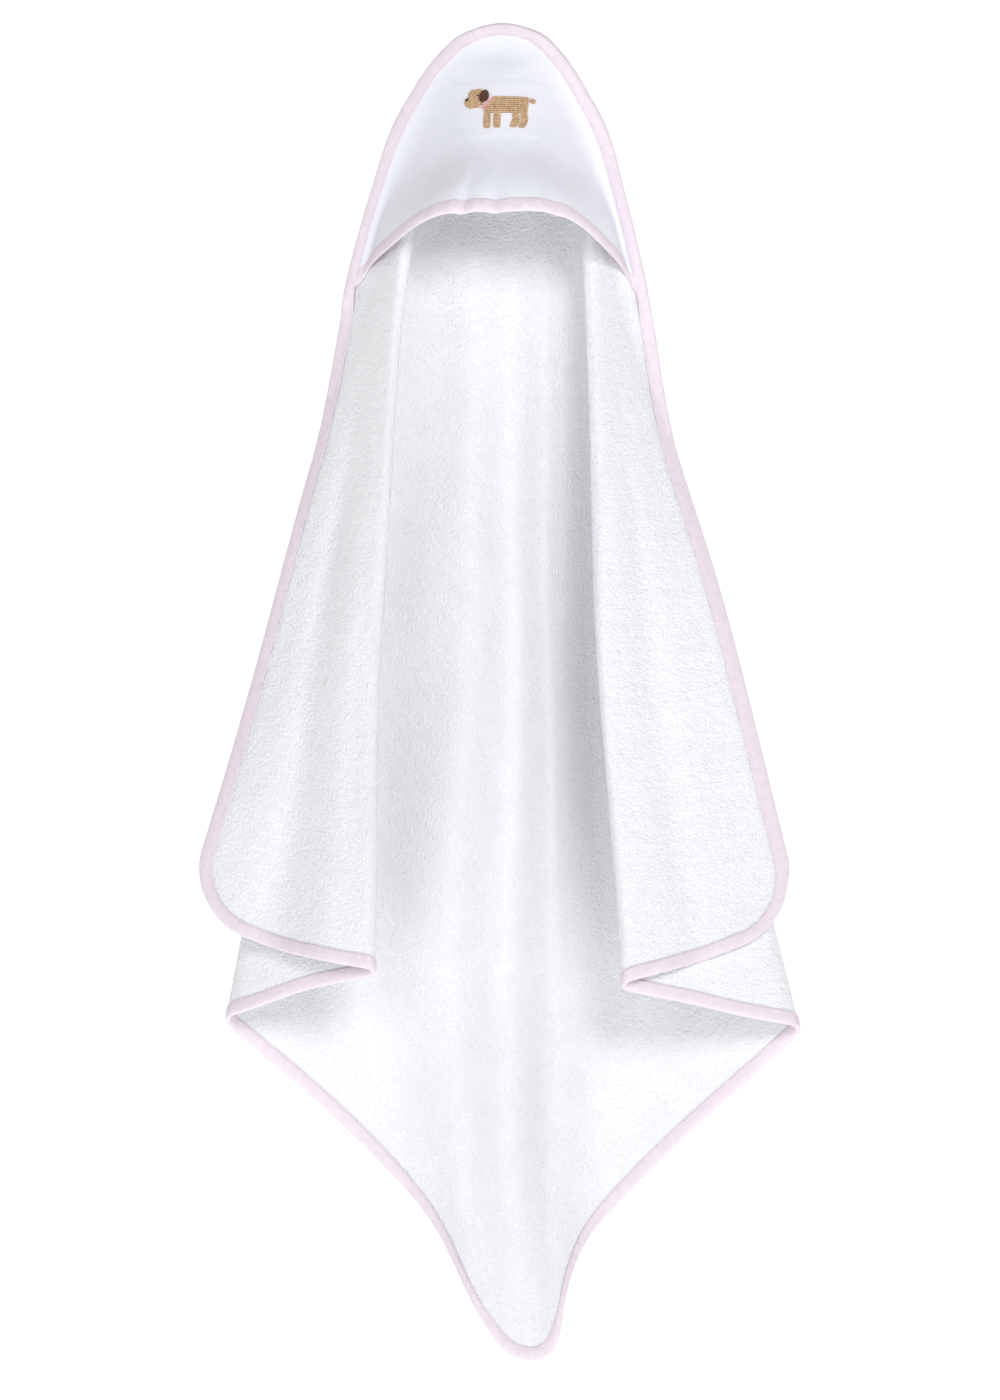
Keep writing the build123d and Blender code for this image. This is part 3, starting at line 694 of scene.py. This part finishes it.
def chain(rows, link, width, thick, low, seed):
    """Rows of chain stitch: each link is a flat loop of floss laid on the hood, its
    tip tucked under the next.  rows are lists of (x, y) points in millimetres."""
    all_points, all_quads, offset = [], [], 0
    rng = np.random.default_rng(seed)
    turns, sides_ = 14, 6
    a = np.linspace(0, 2 * math.pi, turns, endpoint=False)
    b = np.linspace(0, 2 * math.pi, sides_, endpoint=False)
    for path in rows:
        path = np.asarray(path, float)
        length = np.concatenate([[0], np.cumsum(np.hypot(*np.diff(path, axis=0).T))])
        count = max(2, int(round(length[-1] / link)))
        at = (np.arange(count) + 0.5) / count * length[-1]
        eps = 0.2
        c = np.stack([np.interp(at, length, path[:, k]) for k in (0, 1)], axis=1)
        d = (np.stack([np.interp(at + eps, length, path[:, k]) for k in (0, 1)], axis=1)
             - np.stack([np.interp(at - eps, length, path[:, k]) for k in (0, 1)], axis=1))
        d /= np.hypot(d[:, 0], d[:, 1])[:, None]
        n = np.stack([-d[:, 1], d[:, 0]], axis=1)
        step = length[-1] / count
        for k in range(count):
            wob = rng.uniform(-0.06, 0.06, 3)
            along = np.cos(a) * step * 0.64 + wob[0]
            wide = np.sin(a) * (width / 2 - thick / 2) * (1 - 0.28 * np.cos(a)) * (1 + wob[1])
            xy = c[k] + along[:, None] * d[k] + wide[:, None] * n[k]
            rise = thick * (0.55 - 0.25 * np.cos(a)) + 0.12 * np.abs(np.sin(a))
            p = (motif_down - xy[:, 1] - xy[:, 0]) / math.sqrt(2)
            q = (motif_down - xy[:, 1] + xy[:, 0]) / math.sqrt(2)
            centre = hood.at(p, q, low + rise)
            up = hood.at(p, q, low + rise + 1.0) - centre
            tangent = np.roll(centre, -1, axis=0) - np.roll(centre, 1, axis=0)
            tangent /= np.linalg.norm(tangent, axis=1)[:, None]
            across = np.cross(tangent, up)
            across /= np.linalg.norm(across, axis=1)[:, None]
            tube = (centre[:, None] + (across[:, None] * np.cos(b)[None, :, None]
                                       + up[:, None] * np.sin(b)[None, :, None]) * thick / 2)
            all_points.append(tube.reshape(-1, 3))
            i, j = np.meshgrid(np.arange(turns), np.arange(sides_), indexing="ij")
            i2, j2 = (i + 1) % turns, (j + 1) % sides_
            all_quads.append(offset + np.stack([i * sides_ + j, i2 * sides_ + j, i2 * sides_ + j2,
                                                i * sides_ + j2], axis=-1).reshape(-1, 4))
            offset += turns * sides_
    return np.concatenate(all_points), np.concatenate(all_quads)


def satin(rows, thick, low):
    """Close straight floss strands laid side by side, each a small rounded tube."""
    all_points, all_faces, caps, offset = [], [], [], 0
    for (x0, y0), (x1, y1) in rows:
        share = np.linspace(0, 1, 9)
        x = x0 + (x1 - x0) * share
        y = y0 + (y1 - y0) * share
        p = (motif_down - y - x) / math.sqrt(2)
        q = (motif_down - y + x) / math.sqrt(2)
        bow = np.sqrt(np.clip(1 - (2 * share - 1)**2, 0, 1))
        centre = hood.at(p, q, low + thick * (0.2 + 1.1 * bow))
        up = hood.at(p, q, low + thick * (0.2 + 1.1 * bow) + 1) - centre
        tangent = np.gradient(centre, axis=0)
        tangent /= np.linalg.norm(tangent, axis=1)[:, None]
        across = np.cross(tangent, up)
        a = np.linspace(0, 2 * math.pi, 6, endpoint=False)
        tube = centre[:, None] + (across[:, None] * np.cos(a)[None, :, None]
                                  + up[:, None] * np.sin(a)[None, :, None]) * thick / 2
        all_points.append(tube.reshape(-1, 3))
        i, j = np.meshgrid(np.arange(8), np.arange(6), indexing="ij")
        all_faces.append(offset + np.stack([i * 6 + j, i * 6 + (j + 1) % 6, (i + 1) * 6 + (j + 1) % 6,
                                            (i + 1) * 6 + j], axis=-1).reshape(-1, 4))
        caps.append(offset + np.arange(6)[::-1])
        caps.append(offset + 48 + np.arange(6))
        offset += 54
    return np.concatenate(all_points), [np.concatenate(all_faces), np.array(caps)]


row_pitch = 1.7
rows = []
back_rows = [(-5.0, 19.5), (-6.4, 19.9), (-8.0, 20.0), (-9.3, 20.0), (-10.4, 19.8), (-11.0, 19.8),
             (-11.2, 19.8),
             (-11.2, 19.6)]
head_rows = [(-20.5, -13.0), (-22.0, -10.0), (-22.3, -8.6), (-23.0, -8.4), (-25.0, -8.4), (-25.5, -9.2),
             (-25.2, -10.8), (-24.2, -12.4), (-22.5, -14.4)]
for n, (x0, x1) in enumerate(back_rows):
    y = 9.4 - n * row_pitch
    rows.append([(x0, y), ((x0 + x1) / 2, y - 0.5), (x1, y)])
for n, (x0, x1) in enumerate(head_rows):
    y = 16.6 - n * row_pitch
    rows.append([(x0, y), ((x0 + x1) / 2, y + 0.3), (x1, y)])
legs = [[(-9.3, -3.7), (-9.5, -15.4)], [(-2.0, -3.7), (-2.2, -15.4)],
        [(11.2, -3.7), (12.0, -9.0), (9.6, -16.0)], [(17.4, -3.7), (18.2, -9.0), (16.0, -15.6)]]
for leg_path in legs:
    downs = [-y for _, y in leg_path]
    for n in range(8):
        y = -4.0 - n * 1.6
        x = np.interp(-y, downs, [x for x, _ in leg_path])
        half = 2.5 if 0 < n < 7 else 2.1
        rows.append([(x - half, y), (x + half, y - 0.15)])
rows.append([(20.9, 8.9), (23.2, 8.8), (25.2, 7.9)])
rows.append([(20.9, 7.1), (22.6, 6.7), (24.6, 6.1)])
layer = hood_front + 0.30
points, quads = chain(rows, 2.3, 1.4, 0.5, layer + 0.06, 3)
# under-chain in painted shade: lower, wider dark links that show between the tan links as the shadow in
# their gaps
under_points, under_quads = chain(rows, 1.3, 2.1, 0.5, layer - 0.28, 7)
slots = np.concatenate([np.zeros(len(quads)), np.ones(len(under_quads))])
puppy_body = mesh_piece("puppy_body_floss", np.concatenate([points, under_points]),
                        np.concatenate([quads, under_quads + len(points)]), None, [tan_floss,
                                painted_gap_shade_floss], slots)

strands = []
for k in range(22):
    y = 15.4 - k * 0.44
    half = 3.2 * math.sqrt(max(0.0, 1 - ((y - 10.7) / 5.0)**2)) + 0.25
    strands.append(((-10.9 - half - 0.02 * k, y - 0.25), (-10.9 + half - 0.02 * k, y + 0.25)))
points, faces = satin(strands, 0.62, layer + 0.75)
puppy_ear = mesh_piece("puppy_ear_floss", points, faces, None, brown_floss)
points, quads = chain([[(-4.9, 9.2), (-8.4, 3.4), (-11.8, -0.6)], [(-6.3, 8.0), (-9.9, 3.9), (-13.4,
                      1.0)]],
                      1.9, 1.7, 0.6, layer + 0.55, 5)
puppy_collar = mesh_piece("puppy_collar_floss", points, quads, None, rose_floss)
points, faces = satin([((-24.7 + 0.35 * k, 8.9 - 0.1 * k), (-22.9 + 0.35 * k,
                      10.6 - 0.1 * k)) for k in range(4)],
                      0.6, layer + 0.6)
puppy_nose = mesh_piece("puppy_nose_floss", points, faces, None, black_floss)
points, faces = satin([((-16.3, 12.5 - 0.4 * k), (-14.7, 12.0 - 0.4 * k)) for k in range(2)], 0.5,
                      layer + 0.6)
puppy_eye = mesh_piece("puppy_eye_floss", points, faces, None, black_floss)

# ---- patches --------------------------------------------------------------------------------


def patch(drape, centre, along, width, length, front, back, name, mat, count=40):
    along = np.asarray(along, float)
    across = np.array([-along[1], along[0]])
    u = np.linspace(-width / 2, width / 2, count)[:, None, None]
    v = np.linspace(-length / 2, length / 2, count)[None, :, None]
    grid = np.asarray(centre) + along * u + across * v
    points, faces, flat, _ = sheet_mesh(drape, grid, front, back)
    return mesh_piece(name, points, faces, flat, mat)


middle_flat = motif_down / math.sqrt(2)
backing = patch(hood, (middle_flat, middle_flat), (-math.sqrt(0.5), math.sqrt(0.5)), 64, 46,
                hood_gap - 0.1, hood_gap - 0.45, "stabiliser_backing", backing_felt)
label = patch(towel, (side - leg - 0.2 - 13, 545.0), (0.0, 1.0), 34, 26, terry_back - 0.75,
              terry_back - 1.05,
              "blank_care_label", label_satin)

# ---- frame: what stands for what --------------------------------------------------------------
pairs = [
    (terry, ["terry_body"], "white_terry"), (hood_piece, ["hood_panel"], "white_hood_cloth"),
    (edge_tape, ["edge_binding"], "pink_binding"), (hem_tape, ["hood_hem_binding"], "pink_binding"),
    (needle, ["edge_stitch_needle_thread"], "pink_thread"), (bobbin, ["edge_stitch_bobbin_thread"],
            "pink_thread"),
    (hem_needle, ["hood_hem_needle_thread"], "pink_thread"), (hem_bobbin, ["hood_hem_bobbin_thread"],
            "pink_thread"),
    (puppy_body, ["puppy_body_embroidery"], "tan_embroidery"), (puppy_ear, ["puppy_ear_embroidery"],
            "brown_embroidery"),
    (puppy_collar, ["puppy_collar_embroidery"], "rose_embroidery"),
    (puppy_nose, ["puppy_nose_embroidery"], "black_embroidery"), (puppy_eye, ["puppy_eye_embroidery"],
            "black_embroidery"),
    (backing, ["embroidery_backing"], "white_backing"), (label, ["care_label"], "white_label")]
for piece, nodes, slot in pairs:
    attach(piece, "root")
    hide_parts(*nodes)

# ---- studio -------------------------------------------------------------------------------------


def studio_material(name, colour, glow):
    m = bpy.data.materials.new(name)
    m.use_nodes = True
    bsdf = m.node_tree.nodes["Principled BSDF"]
    bsdf.inputs["Base Color"].default_value = colour + (1,)
    bsdf.inputs["Roughness"].default_value = 0.9
    bsdf.inputs["Emission Color"].default_value = (1, 1, 1, 1)
    bsdf.inputs["Emission Strength"].default_value = glow
    return m


def paper_floor():
    """Wide pale floor under the towel; the white world stands behind it from every side."""
    half = 14000.0
    points = [(x, y, -1600.0) for x, y in ((-half, -half), (half, -half), (half, half), (-half, half))]
    return mesh_piece("studio_floor", np.array(points), np.array([(0, 1, 2, 3)]), None,
                      studio_material("studio_paper", (0.9, 0.9, 0.9), 0.85))


floor = paper_floor()

world = bpy.data.worlds.new("studio")
bpy.context.scene.world = world
world.use_nodes = True
tree = world.node_tree
soft = tree.nodes["Background"]
soft.inputs["Color"].default_value = (1, 1, 1, 1)
soft.inputs["Strength"].default_value = 0.30
seen = tree.nodes.new("ShaderNodeBackground")
seen.inputs["Color"].default_value = (1, 1, 1, 1)
seen.inputs["Strength"].default_value = 1.1
choose = tree.nodes.new("ShaderNodeMixShader")
ray = tree.nodes.new("ShaderNodeLightPath")
tree.links.new(ray.outputs["Is Camera Ray"], choose.inputs[0])
tree.links.new(soft.outputs[0], choose.inputs[1])
tree.links.new(seen.outputs[0], choose.inputs[2])
tree.links.new(choose.outputs[0], tree.nodes["World Output"].inputs["Surface"])


def area_light(name, place, target, size, power):
    data = bpy.data.lights.new(name, "AREA")
    data.shape = "RECTANGLE"
    data.size, data.size_y = size
    data.energy = power
    lamp = bpy.data.objects.new(name, data)
    bpy.context.scene.collection.objects.link(lamp)
    lamp.location = place
    lamp.rotation_euler = (Vector(target) - Vector(place)).to_track_quat("-Z", "Y").to_euler()


area_light("key", (0.7, -2.9, 0.6), (0, 0, -0.42), (0.8, 0.8), 43)
area_light("fill", (-0.9, -3.0, 0.2), (0, 0, -0.4), (1.0, 1.0), 14)
area_light("back_left", (-1.5, 1.3, 0.4), (0, 0, -0.5), (1.0, 1.6), 11)
area_light("back_right", (1.5, 1.3, 0.4), (0, 0, -0.5), (1.0, 1.6), 11)
bpy.context.scene.view_settings.view_transform = "Standard"

camera_data = bpy.data.cameras.new("camera")
camera = bpy.data.objects.new("camera", camera_data)
bpy.context.scene.collection.objects.link(camera)
bpy.context.scene.camera = camera
distance = 4.0
view_height = 1.071             # metres seen from top to bottom of the picture
centre_x = -0.00153
centre_z = -0.51714
camera.location = (centre_x, -distance, centre_z)
camera.rotation_euler = (math.radians(90), 0, 0)
camera_data.sensor_width = 36
camera_data.sensor_fit = "VERTICAL"
camera_data.sensor_height = 36
camera_data.lens = 36 * distance / view_height
camera_data.clip_end = 100
